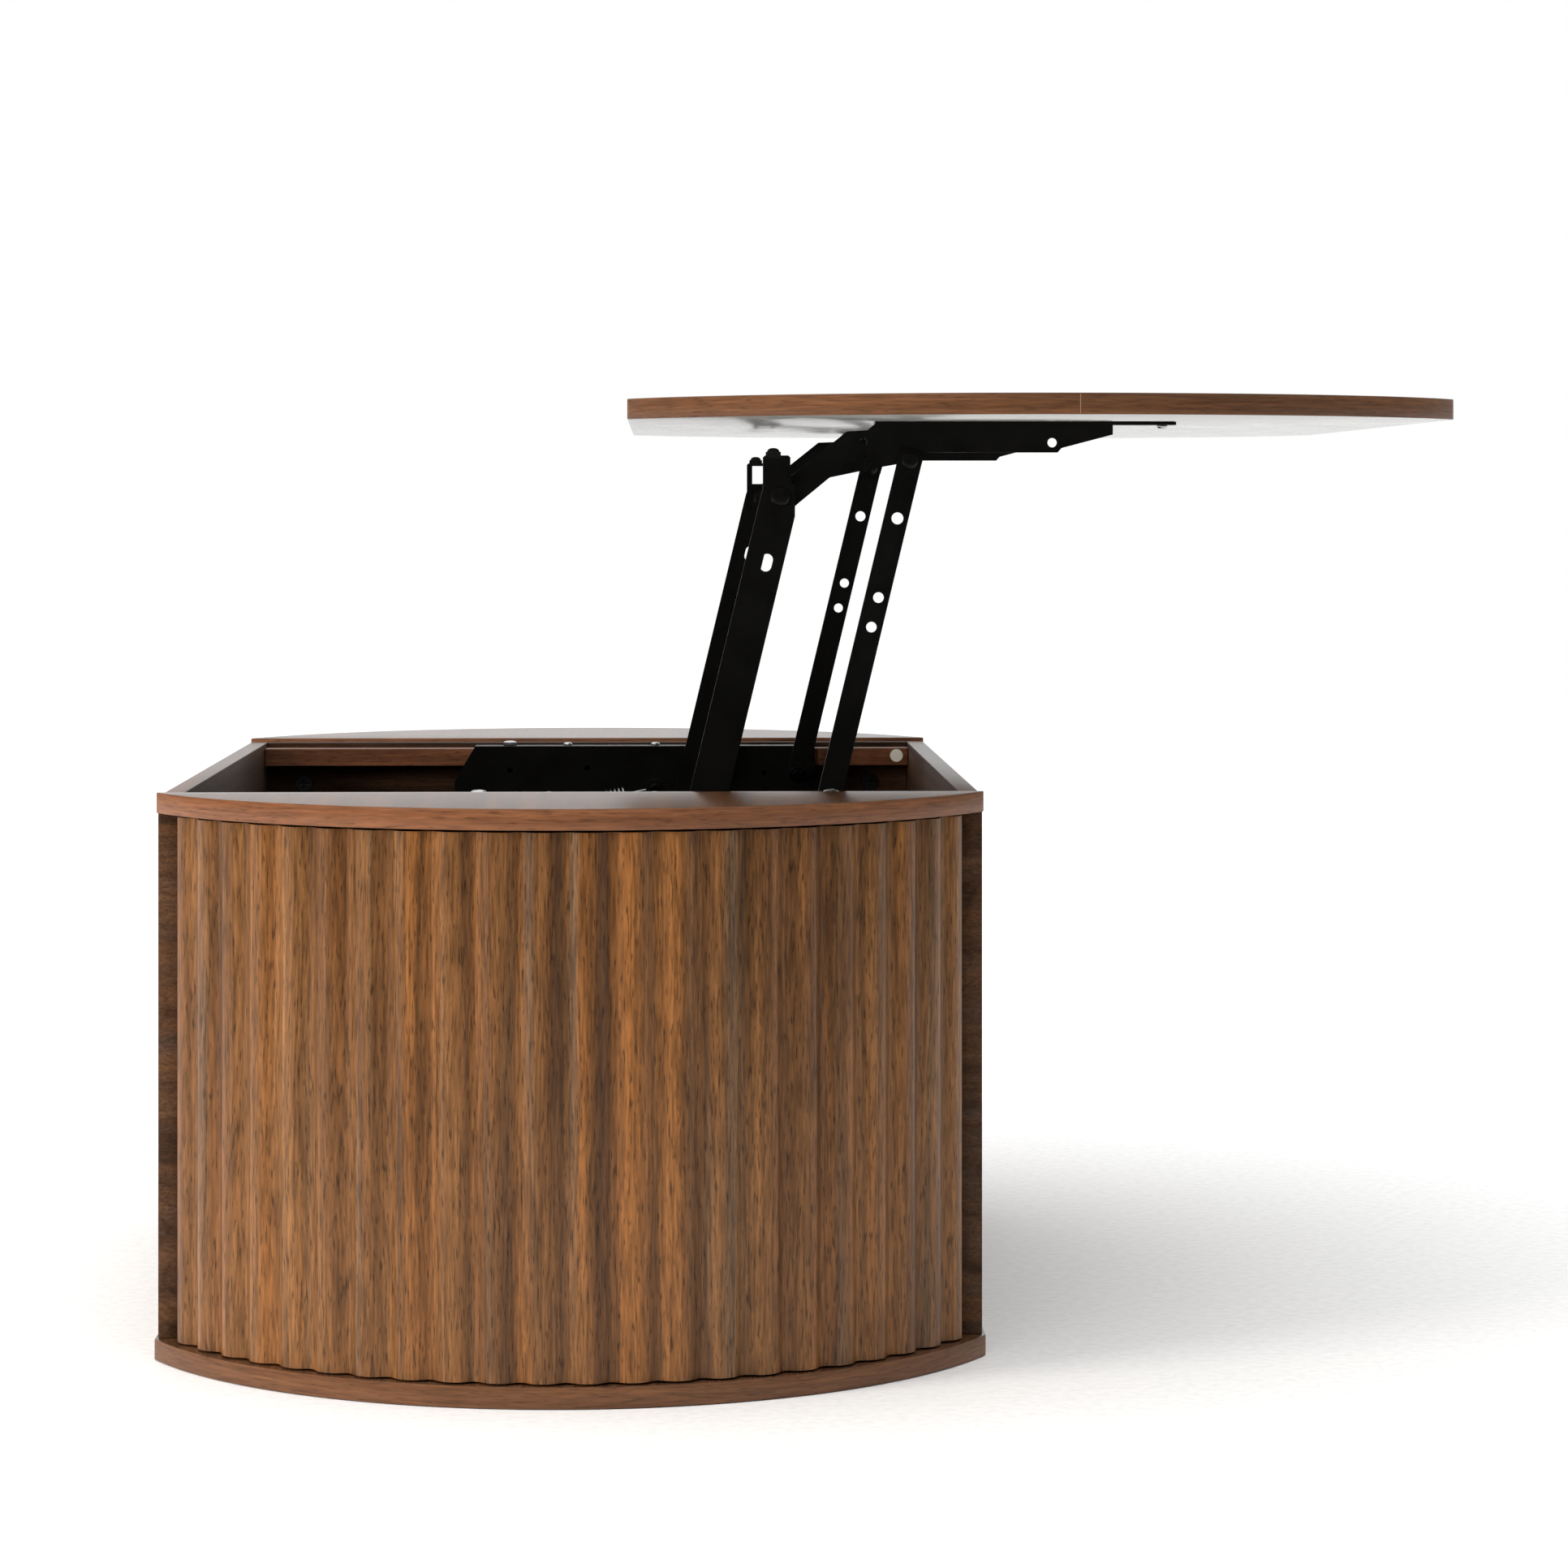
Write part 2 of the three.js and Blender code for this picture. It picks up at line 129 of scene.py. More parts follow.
# %% Walnut foil
def walnut(name, coords, stretch, tones, rough=0.3, shine=0.32, ring=0.18, fibre=0.2,
           smudge=0.34, drift=0.7, band_mm=24, wander_mm=12, seed=0.0):
    finish, tree, out = blank(name)
    flat = add(tree, "TexCoord").outputs[coords]
    sway = add(tree, "Mapping", {"Vector": flat, "Location": (seed, seed, seed),
                                 "Scale": [7.0 if s >= 1 else 2.4 for s in stretch]})
    sway = add(tree, "TexNoise", {"Vector": sway.outputs[0], "Scale": 1.0, "Detail": 2.0})
    sway = add(tree, "VectorMath", {0: sway.outputs["Color"], "Scale": wander_mm * MM},
               operation="SCALE")
    source = add(tree, "VectorMath", {0: flat, 1: sway.outputs[0]}, operation="ADD").outputs[0]

    def layer(size_mm, length=1.0, detail=2.0, shift=0.0, warp=0.0, rugged=0.55):
        """Noise whose grain is size_mm across the sheet, and longer along it."""
        scale = [1000 / size_mm * (s if s >= 1 else s / length) for s in stretch]
        placed = add(tree, "Mapping", {"Vector": source, "Scale": scale,
                                       "Location": (seed + shift, shift * 1.7, seed * 0.6)})
        return add(tree, "TexNoise", {"Vector": placed.outputs[0], "Scale": 1.0, "Detail": detail,
                                      "Roughness": rugged, "Distortion": warp}).outputs["Fac"]

    def curve(value, low, high, start, end):
        return add(tree, "MapRange", {"Value": value, "From Min": low, "From Max": high,
                                      "To Min": start, "To Max": end}).outputs[0]

    bands = layer(band_mm, 1.3, 6.0, 1.3, 0.1, 0.68)
    colour = add(tree, "ValToRGB", {"Fac": bands}, stops=[
        (0.28, linear(tones["dark"])), (0.72, linear(tones["light"])),
        (0.40, linear(tones["deep"])), (0.54, linear(tones["mid"]))]).outputs["Color"]
    for tint, size, shift, low in (("orange", 17, 5.1, 0.50), ("grey", 22, 9.7, 0.55)):
        where = curve(layer(size, 1.5, 3.0, shift, 0.1), low, low + 0.14, 0.0, drift)
        colour = add(tree, "Mix", {0: where, 6: colour, 7: linear(tones[tint])},
                     data_type="RGBA").outputs[2]

    contour = add(tree, "Math", {0: layer(95, 0.35, 1.0, 3.3, 0.2), 1: 34.0},
                  operation="MULTIPLY")
    line = add(tree, "Math", {0: contour.outputs[0], 1: 1.0}, operation="PINGPONG")
    rings = curve(line.outputs[0], 0.0, 0.3, 1 - ring, 1.0)
    blots = curve(layer(34, 0.22, 2.0, 7.7, 0.5), 0.60, 0.74, 1.0, 1 - smudge)
    streaks = curve(layer(4.5, 1.8, 2.0, 6.1), 0.32, 0.68, 1 - 0.6 * fibre, 1 + 0.6 * fibre)
    fibres = curve(layer(1.6, 0.5, 2.0, 2.2), 0.34, 0.66, 1 - fibre, 1 + fibre)
    pores = curve(layer(1.2, 0.3, 1.0, 4.4), 0.58, 0.70, 1.0, 1 - 1.8 * fibre)
    shade = rings
    for more in (blots, streaks, fibres, pores):
        shade = add(tree, "Math", {0: shade, 1: more}, operation="MULTIPLY").outputs[0]
    colour = add(tree, "VectorMath", {0: colour, "Scale": shade}, operation="SCALE").outputs[0]
    relief = add(tree, "Bump", {"Height": pores, "Strength": 0.4, "Distance": 0.1 * MM})
    skin = add(tree, "BsdfPrincipled", {"Base Color": colour, "Roughness": rough, "IOR": 1.5,
                                        "Specular IOR Level": shine,
                                        "Normal": relief.outputs[0]})
    tree.links.new(skin.outputs[0], out.inputs[0])
    print("material", name)
    return finish


FLUTE_TONES = {"dark": "#54381f", "deep": "#674427", "mid": "#76502e", "light": "#865d37",
               "orange": "#8b592d", "grey": "#64503c"}
BOARD_TONES = {"dark": "#40291c", "deep": "#4c3321", "mid": "#593b28", "light": "#664632",
               "orange": "#634027", "grey": "#4d3c31"}
fluted_foil = walnut("walnut_foil_pressed_on_flutes", "UV", (1.0, 0.03, 1.0), FLUTE_TONES,
                     shine=0.24, fibre=0.32)
board_foil = walnut("walnut_foil_on_flat_board", "Object", (1.0, 0.04, 1.0), BOARD_TONES,
                    rough=0.25, shine=0.5, ring=0.2, band_mm=22)

# %% [markdown]
# The edges are covered by another product: a plastic strip about one millimetre thick, ironed on.
# Its print is plainer and redder than the boards, with fine streaks along the strip, so it gets
# the same recipe with the rings and smudges turned down. The long panels carry their grain
# lengthwise, so on their narrow ends it shows as stacked dark and light bars. These ends are
# also given darker tones overall: painted shade from the curved end panels beside them.

# %% Edge band, long panels and rails
BAND_TONES = {"dark": "#674027", "deep": "#72482e", "mid": "#7b4f33", "light": "#87593b",
              "orange": "#825130", "grey": "#714d3a"}
LID_BAND_TONES = {"dark": "#5d3a24", "deep": "#644129", "mid": "#6c482e", "light": "#795035",
                  "orange": "#734a2b", "grey": "#644734"}
# The panel ends' tones are darker overall than the edge band: painted shade from the curved end
# panels, over the printed bars.
SHADED_BAR_TONES = {"dark": "#342319", "deep": "#442f21", "mid": "#533b2a", "light": "#684b37",
             "orange": "#5f412a", "grey": "#4b3b30"}
# Inside the box the same walnut foil gets much darker tones: painted shade for the dim inside of the
# box.
INNER_SHADED_TONES = {"dark": "#2a1c13", "deep": "#34241a", "mid": "#3e2b20", "light": "#4c3627",
               "orange": "#47301f", "grey": "#382c25"}
RAIL_TONES = {"dark": "#513120", "deep": "#5e3a26", "mid": "#6a432e", "light": "#794e37",
              "orange": "#73472d", "grey": "#5c4632"}
edge_band = walnut("walnut_print_edge_band", "UV", (0.03, 1.0, 1.0), BAND_TONES, rough=0.42,
                   ring=0.05, smudge=0.1, drift=0.5, band_mm=4, fibre=0.2, wander_mm=3)
lid_band = walnut("walnut_print_edge_band_dark", "UV", (0.03, 1.0, 1.0), LID_BAND_TONES,
                  rough=0.42, ring=0.05, smudge=0.1, drift=0.5, band_mm=4, fibre=0.2,
                  wander_mm=3, seed=2.0)
panel_foil = walnut("walnut_foil_grain_lengthwise", "Object", (1.0, 0.04, 1.0), BOARD_TONES,
                    rough=0.3, shine=0.4, band_mm=22, seed=3.0)
panel_end_band = walnut("walnut_print_panel_ends", "Object", (0.2, 1.0, 1.0), SHADED_BAR_TONES,
                        rough=0.5, shine=0.1, ring=0.25, band_mm=20, seed=5.0)
# The next two are darker copies of the walnut foil for faces inside the box: painted shade.
inner_shaded_foil = walnut("walnut_foil_inside_darkened_for_shade", "Object", (0.04, 1.0, 1.0), INNER_SHADED_TONES,
                    rough=0.5, shine=0.12, band_mm=16, seed=8.0)
inner_long_shaded_foil = walnut("walnut_foil_inside_lengthwise_darkened_for_shade", "Object", (1.0, 0.04, 1.0),
                         INNER_SHADED_TONES, rough=0.5, shine=0.12, band_mm=16, seed=9.0)
rail_foil = walnut("brown_foil_on_batten", "Object", (0.05, 1.0, 1.0), RAIL_TONES, rough=0.42,
                   ring=0.1, smudge=0.15, drift=0.4, band_mm=7)

# %% [markdown]
# ## Metal, rubber, melamine and paper
# The arms are pressed steel with a black powder coat. Powder flows out into a skin with a very
# fine orange peel, which breaks up a reflection without making it dull. The top pins share that
# coat. The screws, base pins and springs are steel with bright zinc, and the spring's bolts and
# the inner ends of the base pins are steel that has been blackened. The cams are die cast zinc,
# which is duller and pitted; their colour is made much darker as well, painted shade for their
# place deep inside the box. The lid's underside is white melamine paper, glossy enough to show
# blurred dark reflections of the brackets.

# %% Other finishes
def skin_with_relief(name, code, rough, metal, size_mm, depth_mm, vary=0.1, shine=0.5):
    finish, tree, out = blank(name)
    place = add(tree, "TexCoord").outputs["Object"]
    grit = add(tree, "TexNoise", {"Vector": place, "Scale": 1000 / size_mm, "Detail": 3.0})
    slow = add(tree, "TexNoise", {"Vector": place, "Scale": 1000 / (size_mm * 30), "Detail": 2.0})
    uneven = add(tree, "MapRange", {"Value": slow.outputs["Fac"], "From Min": 0.3, "From Max": 0.7,
                                    "To Min": max(rough - vary, 0.05), "To Max": rough + vary})
    tone = add(tree, "MapRange", {"Value": grit.outputs["Fac"], "From Min": 0.3, "From Max": 0.7,
                                  "To Min": 0.94, "To Max": 1.04})
    colour = add(tree, "VectorMath", {0: linear(code)[:3], "Scale": tone.outputs[0]},
                 operation="SCALE")
    relief = add(tree, "Bump", {"Height": grit.outputs["Fac"], "Strength": 0.5,
                                "Distance": depth_mm * MM})
    settings = {"Base Color": colour.outputs[0], "Roughness": uneven.outputs[0],
                "Metallic": metal, "Normal": relief.outputs[0]}
    if not metal:
        settings["IOR"] = 1.5
        settings["Specular IOR Level"] = shine
    skin = add(tree, "BsdfPrincipled", settings)
    tree.links.new(skin.outputs[0], out.inputs[0])
    print("material", name)
    return finish


powder_coat = skin_with_relief("powder_coated_steel_black", "#0b0b0a", 0.34, 0.0, 0.8, 0.02,
                               shine=0.16)
black_pin = skin_with_relief("black_oxide_steel_pins", "#1c1c1c", 0.3, 1.0, 0.6, 0.01)
zinc_plate = skin_with_relief("zinc_plated_steel_bright", "#b4b5b6", 0.26, 1.0, 0.6, 0.01)
# The cams sit deep inside the box; their very dark zinc colour is painted shade.
shaded_cast_zinc = skin_with_relief("die_cast_zinc_dull_darkened_for_shade", "#4c4c4e", 0.4, 1.0, 0.4, 0.03)
spring_wire = skin_with_relief("zinc_plated_spring_wire", "#9a9b9c", 0.3, 1.0, 0.5, 0.01)
buffer_rubber = skin_with_relief("moulded_rubber_black", "#121212", 0.62, 0.0, 0.5, 0.03,
                                 shine=0.2)
white_melamine = skin_with_relief("melamine_paper_white", "#a9a9a5", 0.2, 0.0, 1.4, 0.006, 0.04)
seam_glue = skin_with_relief("hot_melt_glue_line", "#b08f74", 0.5, 0.0, 0.4, 0.01, 0.05, shine=0.2)
label_paper = skin_with_relief("label_paper_white", "#dedcd4", 0.6, 0.0, 0.3, 0.02, 0.05)

# %% [markdown]
# ## Mesh helpers
# Each new piece is drawn with bmesh operators in place, so its object can stay at the origin.
# `settle` turns a finished bmesh into an object, hides the rough CAD nodes that it stands for, and
# fastens it to the right moving body.

# %% Mesh helpers
def settle(bm, name, body, finishes, stands_for=(), smooth_below=35):
    bmesh.ops.recalc_face_normals(bm, faces=bm.faces)
    for face in bm.faces:
        face.smooth = True
    for edge in bm.edges:
        if len(edge.link_faces) == 2 and edge.calc_face_angle(0) > math.radians(smooth_below):
            edge.smooth = False
    mesh = bpy.data.meshes.new(name)
    bm.to_mesh(mesh)
    bm.free()
    for finish in finishes:
        mesh.materials.append(finish)
    piece = bpy.data.objects.new(name, mesh)
    bpy.context.scene.collection.objects.link(piece)
    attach(piece, body)
    if stands_for:
        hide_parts(*stands_for)
    print(name, len(mesh.polygons), "faces on", body)
    return piece


def whole(bm):
    return bm.verts[:] + bm.edges[:] + bm.faces[:]


def raise_up(bm, height):
    """Thicken a flat plan upwards: the plan stays as the underside."""
    grown = bmesh.ops.extrude_face_region(bm, geom=bm.faces[:])["geom"]
    bmesh.ops.translate(bm, vec=(0, 0, height),
                        verts=[g for g in grown if isinstance(g, bmesh.types.BMVert)])


def soften(bm, edges, width_mm):
    bmesh.ops.bevel(bm, geom=edges, offset=width_mm * MM, offset_type="OFFSET", affect="EDGES",
                    segments=2, profile=0.5, material=-1)


# %% [markdown]
# ## Boards with round ends
# The plan of every board is made of half moons: a disc cut by a straight line. A shop cuts them
# the same way, with a router on a trammel. The oval lid and base are two half moons with a
# bridge between them. The rim is then eased a little, as the trimmer leaves it, and the side
# faces get the edge band, with a map that runs along the strip so that its streaks follow the curve.

# %% Plan shapes
end_radius = 336 * MM
RIM_EASE = 0.7            # mm that the trimmer takes off a board's rim


def chord_of(half_length, half_width):
    """How far out the round end starts: where its arc is as wide as the board."""
    return half_length - end_radius + math.sqrt(end_radius ** 2 - half_width ** 2)


def half_moon(bm, side, half_length, centre_x, cut_y, segments=300):
    """A disc of the end radius, of which only the part beyond the cut is kept."""
    start = whole(bm)
    centre = Matrix.Translation((centre_x, side * (half_length - end_radius), 0))
    bmesh.ops.create_circle(bm, cap_ends=True, segments=segments, radius=end_radius, matrix=centre)
    new = [g for g in whole(bm) if g not in start]
    bmesh.ops.bisect_plane(bm, geom=new, plane_co=(0, side * cut_y, 0), plane_no=(0, side, 0),
                           clear_inner=True, dist=MERGE)


def straight_edge(bm, y):
    return [e for e in bm.edges if all(abs(v.co.y - y) < 1e-5 for v in e.verts)]


def band_map(bm, centre_x, half_length, chord_y, band_slot, under_slot=None):
    """Side faces get the edge band, with u along the rim and v up it; the underside its own slot."""
    layer = bm.loops.layers.uv.verify()
    centre_y = half_length - end_radius
    for face in bm.faces:
        if abs(face.normal.z) < 0.6:
            face.material_index = band_slot
        elif face.normal.z < 0 and under_slot is not None:
            face.material_index = under_slot
        for loop in face.loops:
            x, y, z = loop.vert.co
            around = math.atan2(x - centre_x, abs(y) - centre_y) * end_radius
            along = around if abs(y) > chord_y - 1e-4 else math.copysign(1.2, x - centre_x) + y
            loop[layer].uv = (along + math.copysign(0.9, y), z)


# %% The lid and the base board
def oval_board(name, node, body, finishes, under_slot=None):
    low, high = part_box(node)
    centre_x, half_length = (low.x + high.x) / 2, high.y
    chord_y = chord_of(half_length, (high.x - low.x) / 2)
    bm = bmesh.new()
    for side in SIDES.values():
        half_moon(bm, side, half_length, centre_x, chord_y)
    facing = straight_edge(bm, chord_y) + straight_edge(bm, -chord_y)
    bmesh.ops.bridge_loops(bm, edges=facing)
    bmesh.ops.dissolve_faces(bm, faces=bm.faces[:])
    raise_up(bm, high.z - low.z)
    bmesh.ops.translate(bm, vec=(0, 0, low.z), verts=bm.verts)
    bmesh.ops.recalc_face_normals(bm, faces=bm.faces)
    rim = [e for e in bm.edges if len(e.link_faces) == 2 and e.calc_face_angle(0) > 1.0]
    soften(bm, rim, RIM_EASE)
    band_map(bm, centre_x, half_length, chord_y, 1, under_slot)
    settle(bm, name, body, finishes, [node])


oval_board("lid_board", "lid", "lid_assembly", [board_foil, lid_band, white_melamine], 2)
oval_board("base_board", "bottom_board", "base", [board_foil, lid_band])

# %% [markdown]
# The lid's edge band goes round once, and its two ends meet in a thin pale line of melted glue
# near the middle of the left end. The line is a real sliver of glue, with a cube's shape and eased
# edges, sunk almost flush.

# %% The seam in the lid's edge band
seam_width, seam_thickness, seam_off_centre, seam_sunk = 0.45 * MM, 0.5 * MM, 11 * MM, 0.4 * MM
low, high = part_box("lid")
bm = bmesh.new()
bmesh.ops.create_cube(bm, size=1)
bmesh.ops.scale(bm, vec=(seam_width, seam_thickness, high.z - low.z - 1.6 * MM), verts=bm.verts)
bmesh.ops.bevel(bm, geom=bm.edges[:], offset=0.1 * MM, segments=1, profile=0.5, affect="EDGES",
                material=-1)
seam_at = ((low.x + high.x) / 2 + seam_off_centre, low.y + seam_sunk, (low.z + high.z) / 2)
bmesh.ops.translate(bm, vec=seam_at, verts=bm.verts)
settle(bm, "lid_band_seam", "lid_assembly", [seam_glue])

# %% [markdown]
# The boards over the curved ends stay with the box. Each is one half moon of the same kind.

# %% The fixed half moon boards over the curved ends
for word, side in SIDES.items():
    low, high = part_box("end_top_board_" + word)
    tip = max(abs(low.y), abs(high.y))
    chord_y = chord_of(tip, high.x)
    bm = bmesh.new()
    half_moon(bm, side, tip, 0.0, chord_y)
    raise_up(bm, high.z - low.z)
    bmesh.ops.translate(bm, vec=(0, 0, low.z), verts=bm.verts)
    bmesh.ops.recalc_face_normals(bm, faces=bm.faces)
    rim = [e for e in bm.edges if len(e.link_faces) == 2 and e.calc_face_angle(0) > 1.0]
    soften(bm, rim, RIM_EASE)
    band_map(bm, 0.0, tip, chord_y, 1)
    settle(bm, "end_board_" + word, "base", [board_foil, edge_band],
           ["end_top_board_" + word])

# %% [markdown]
# ## Fluted ends
# A flute is one wave in the plan: a broad round crest and a narrower valley. On the real panel a
# cutter runs it down a flexible board, and a foil is sucked over it. Here one wave is drawn as a
# short chain of points. Spin copies it round the centre of the arc, once for each flute, and the
# whole chain is pulled upwards. The map counts real metres: u round the arc, v up the panel.

# %% Fluted end panels
FLUTES, WAVE_POINTS, FLUTE_DEPTH = 22, 16, 6.0 * MM
VALLEY_SHARPNESS = 1.7    # above 1, the valley is narrower than the crest
crest_radius, wall = 326 * MM, 7 * MM
half_span = 281.8 * MM    # from the middle of the panel to its last valley
seam_gap = 1.3 * MM


def fluted_end(word, side):
    low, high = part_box("fluted_panel_" + word)
    tip = max(abs(low.y), abs(high.y))
    sweep = 2 * math.asin(half_span / (crest_radius - FLUTE_DEPTH))
    one = sweep / FLUTES
    centre_y = tip - crest_radius * math.cos(one / 2)
    foot_y = min(abs(low.y), abs(high.y))
    bm = bmesh.new()
    chain = []
    for i in range(WAVE_POINTS + 1):
        turn = -sweep / 2 + one * i / WAVE_POINTS
        valley = math.cos(math.pi * i / WAVE_POINTS) ** 2
        radius = crest_radius - FLUTE_DEPTH * valley ** VALLEY_SHARPNESS
        chain.append(bm.verts.new((radius * math.sin(turn), centre_y + radius * math.cos(turn),
                                   low.z + seam_gap)))
        if i:
            bm.edges.new(chain[-2:])
    bmesh.ops.spin(bm, geom=bm.verts[:] + bm.edges[:], cent=(0, centre_y, 0), axis=(0, 0, -1),
                   angle=sweep - one, steps=FLUTES - 1, use_duplicate=True)
    bmesh.ops.remove_doubles(bm, verts=bm.verts, dist=MERGE)
    ends = [v for v in bm.verts if len(v.link_edges) == 1]
    foot = bmesh.ops.extrude_vert_indiv(bm, verts=ends)["verts"]
    for v in foot:
        v.co.y = foot_y
    skirt = bmesh.ops.extrude_edge_only(bm, edges=bm.edges[:])["geom"]
    bmesh.ops.translate(bm, vec=(0, 0, high.z - low.z - 2 * seam_gap),
                        verts=[g for g in skirt if isinstance(g, bmesh.types.BMVert)])
    layer = bm.loops.layers.uv.verify()
    for face in bm.faces:
        for loop in face.loops:
            x, y, z = loop.vert.co
            loop[layer].uv = (math.atan2(x, y - centre_y) * crest_radius + side * 0.7, z)
    bmesh.ops.recalc_face_normals(bm, faces=bm.faces)
    outward = sum(f.normal.y for f in bm.faces)
    if outward < 0:
        bmesh.ops.reverse_faces(bm, faces=bm.faces)
    bmesh.ops.solidify(bm, geom=bm.faces[:], thickness=wall)
    if side < 0:
        bmesh.ops.scale(bm, vec=(1, -1, 1), verts=bm.verts)
    settle(bm, "fluted_end_" + word, "base", [fluted_foil],
           ["fluted_panel_" + word], smooth_below=50)


for word, side in SIDES.items():
    fluted_end(word, side)

# %% [markdown]
# ## Flat panels, rails and pressed steel
# These CAD nodes already have their real shape, so they stay. They only need eased edges: a sharp
# edge never catches the light, and a real one always does. Weld joins the loose triangles first,
# because a bevel needs neighbouring faces to share their corners.

# %% Eased edges on the CAD nodes
def ease(node, finish, width_mm):
    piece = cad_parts[node]
    weld = piece.modifiers.new("weld", "WELD")
    weld.merge_threshold = 1e-5
    bevel = piece.modifiers.new("eased edges", "BEVEL")
    bevel.width, bevel.segments = width_mm * MM, 2
    bevel.limit_method, bevel.angle_limit = "ANGLE", math.radians(40)
    piece.data.materials.clear()
    piece.data.materials.append(finish)


# The inner end panels take the darker inside foil: painted shade for the inside of the box.
for word in SIDES:
    ease("inner_end_panel_" + word, inner_shaded_foil, 0.5)
    ease("lid_rail_" + word, rail_foil, 0.5)
    for part in ("base_bracket_", "rear_arm_", "front_arm_", "lid_bracket_"):
        ease(part + word, powder_coat, 0.35)
    ease("arm_buffer_" + word, buffer_rubber, 0.5)
    for part in ("cam_lock_front_", "cam_lock_back_"):
        ease(part + word, shaded_cast_zinc, 0.25)
print("eased", sum(1 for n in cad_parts.values() if n.modifiers), "CAD nodes")

# %% [markdown]
# The two long panels have foil on their faces and an edge band on all four edges, so each is a
# new board: a unit cube stretched to the size that the frame gives, with its edges eased. Which
# way a face points decides what covers it; the faces that look into the box get a darker copy
# of the foil, painted shade for the inside of the box.

# %% Long panels
for node in ("front_panel", "back_panel"):
    low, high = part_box(node)
    bm = bmesh.new()
    bmesh.ops.create_cube(bm, size=1.0)
    bmesh.ops.scale(bm, vec=high - low, verts=bm.verts)
    bmesh.ops.translate(bm, vec=(low + high) / 2, verts=bm.verts)
    soften(bm, bm.edges[:], 0.6)
    # Faces that look into the box take the darker inside foil (slot 2): painted shade.
    for face in bm.faces:
        if abs(face.normal.y) > 0.6:
            face.material_index = 1
        elif face.normal.x * low.x < 0:
            face.material_index = 2
    settle(bm, node + "_board", "base",
           [panel_foil, panel_end_band, inner_long_shaded_foil], [node])

# %% [markdown]
# ## Screws, pins and posts
# These are all turned parts, so each is half of its outline spun about its own axis, like a lathe.
# The CAD box of each one gives its place and its length.

# %% Turned fasteners
def turned(name, node, body, finish, outline, axis, flip=False,
           first_finish=None, first_mm=0):
    """Spin an outline of (radius, distance) in mm, from one end of the CAD box to the other.
    The first few millimetres may have a finish of their own."""
    low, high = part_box(node)
    middle = (low + high) / 2
    bm = bmesh.new()
    line = [bm.verts.new((r * MM, 0, t * MM)) for r, t in outline]
    for pair in zip(line, line[1:]):
        bm.edges.new(pair)
    bmesh.ops.spin(bm, geom=whole(bm), cent=(0, 0, 0), axis=(0, 0, 1), angle=2 * math.pi,
                   steps=32, use_merge=True)
    bmesh.ops.remove_doubles(bm, verts=bm.verts, dist=MERGE)
    if axis == "Y":
        bmesh.ops.rotate(bm, verts=bm.verts, matrix=Matrix.Rotation(-math.pi / 2, 3, "X"))
    start = high if flip else low
    if flip:
        index = 2 if axis == "Z" else 1
        bmesh.ops.scale(bm, vec=[-1 if i == index else 1 for i in range(3)], verts=bm.verts)
    place = Vector((middle.x, start.y, middle.z)) if axis == "Y" else Vector(
        (middle.x, middle.y, start.z))
    bmesh.ops.translate(bm, vec=place, verts=bm.verts)
    for face in bm.faces:
        if abs(face.calc_center_median().y - place.y) < first_mm * MM:
            face.material_index = 1
    finishes = [finish, first_finish] if first_finish else [finish]
    settle(bm, name, body, finishes, [node], smooth_below=30)


def pan_screw(name, node, body, head_d, flip):
    """A pan head on a tapping shank, measured from the shank's tip."""
    top = 12 + head_d / 3
    r = head_d / 2
    outline = [(0, 0), (1.0, 2), (1.8, 3.5), (1.8, 12), (r - 0.3, 12), (r, 12.3), (r, 12.9),
               (r - 0.25, top - 1.3), (r * 0.78, top - 0.5), (r * 0.5, top - 0.1), (r * 0.42, top),
               (r * 0.3, top - 0.9), (0, top - 1.5)]
    turned(name, node, body, zinc_plate, outline, "Z", flip)


BIG_HEAD, SMALL_HEAD = 12, 8
DARK_END = 2.6            # mm of a base pin's inner end that is dark


